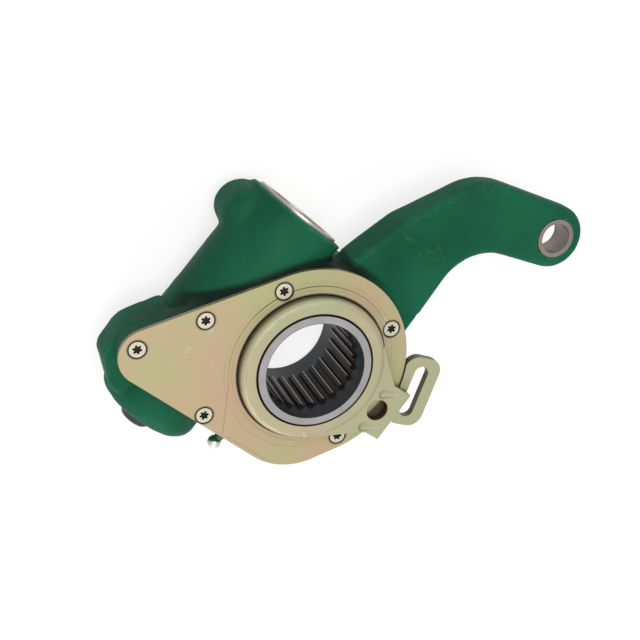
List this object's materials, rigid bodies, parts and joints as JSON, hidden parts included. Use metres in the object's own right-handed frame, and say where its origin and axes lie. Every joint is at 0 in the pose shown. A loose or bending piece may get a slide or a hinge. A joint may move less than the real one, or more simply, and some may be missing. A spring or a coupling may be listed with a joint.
{
  "type": "brake slack adjuster",
  "caption": "Automatic brake slack adjuster: cranked cast lever with clevis eye, splined worm wheel hub, worm with hex end, cover plate and slotted control arm.",
  "frame": {"origin": "on the axis of the splined bore, inside the spline, 25 mm in front of the casting's rear face", "axes": "+Z along the bore towards the cover side, +X along the lever to the clevis eye, so that the adjuster lies on its rear face"},
  "size_m": [0.2235, 0.1275, 0.0508],
  "materials": {
    "green_paint": "satin paint over a rough casting",
    "cover_zinc": "yellow zinc plated sheet, satin",
    "ring_zinc": "yellow zinc plated, greenish",
    "screw_zinc": "pale zinc plated",
    "turned_steel": "turned and broached steel",
    "dark_steel": "black oxide",
    "inner_steel": "ground steel, oiled",
    "spring_steel": "oiled spring steel",
    "bush_steel": "bare steel, browned",
    "bronze": "bearing bronze",
    "cap_metal": "plated steel",
    "nipple_metal": "plated steel with paint on its top",
    "black_rubber": "matt black"
  },
  "bodies": {
    "housing": {"housing": "green_paint", "arm_bush": "bush_steel", "cover_plate": "cover_zinc", "cover_gasket": "black_rubber", "cover_screws": "screw_zinc", "dust_seal": "black_rubber", "hub_bearing": "bronze", "worm_bush": "bronze", "hex_seal": "black_rubber", "thrust_washer": "inner_steel", "thrust_balls": "inner_steel", "worm_spring": "spring_steel", "worm_cap": "cap_metal", "cap_seal": "black_rubber", "rack_spring": "spring_steel", "grease_nipple": "nipple_metal", "pinion_washer": "inner_steel"},
    "worm_wheel": {"worm_wheel": "turned_steel", "hub_seal": "black_rubber"},
    "worm": {"worm_shaft": "dark_steel", "clutch_hub": "inner_steel", "thrust_race": "inner_steel"},
    "pinion": {"pinion": "inner_steel", "clutch_spring": "spring_steel"},
    "rack": {"rack": "inner_steel"},
    "control_arm": {"control_ring": "ring_zinc", "control_disc": "inner_steel", "control_strap": "ring_zinc", "control_seal": "black_rubber"}
  },
  "joints": [
    {"name": "worm_wheel_turn", "type": "hinge", "parent": "housing", "child": "worm_wheel", "pos_m": [0, 0, 0], "axis": [0, 0, 1], "continuous": true},
    {"name": "worm_turn", "type": "hinge", "parent": "housing", "child": "worm", "pos_m": [-0.019, 0.03291, -0.006], "axis": [0.866, 0.5, 0], "continuous": true},
    {"name": "control_arm_swing", "type": "hinge", "parent": "housing", "child": "control_arm", "pos_m": [0, 0, 0.02], "axis": [0, 0, 1], "range_deg": [-12, 8]},
    {"name": "rack_slide", "type": "slide", "parent": "housing", "child": "rack", "axis": [-0.5, 0.866, 0], "range_m": [-0.0047, 0.007], "deforming": ["rack_spring"]},
    {"name": "pinion_turn", "type": "hinge", "parent": "housing", "child": "pinion", "pos_m": [-0.0487, 0.01576, -0.006], "axis": [0.866, 0.5, 0], "range_deg": [-36, 24]}
  ],
  "couplings": [
    {"joint": "worm_turn", "follows": "worm_wheel_turn", "ratio": 23},
    {"joint": "rack_slide", "follows": "control_arm_swing", "m_per_rad": -0.033},
    {"joint": "pinion_turn", "follows": "control_arm_swing", "ratio": 2.9333}
  ]
}
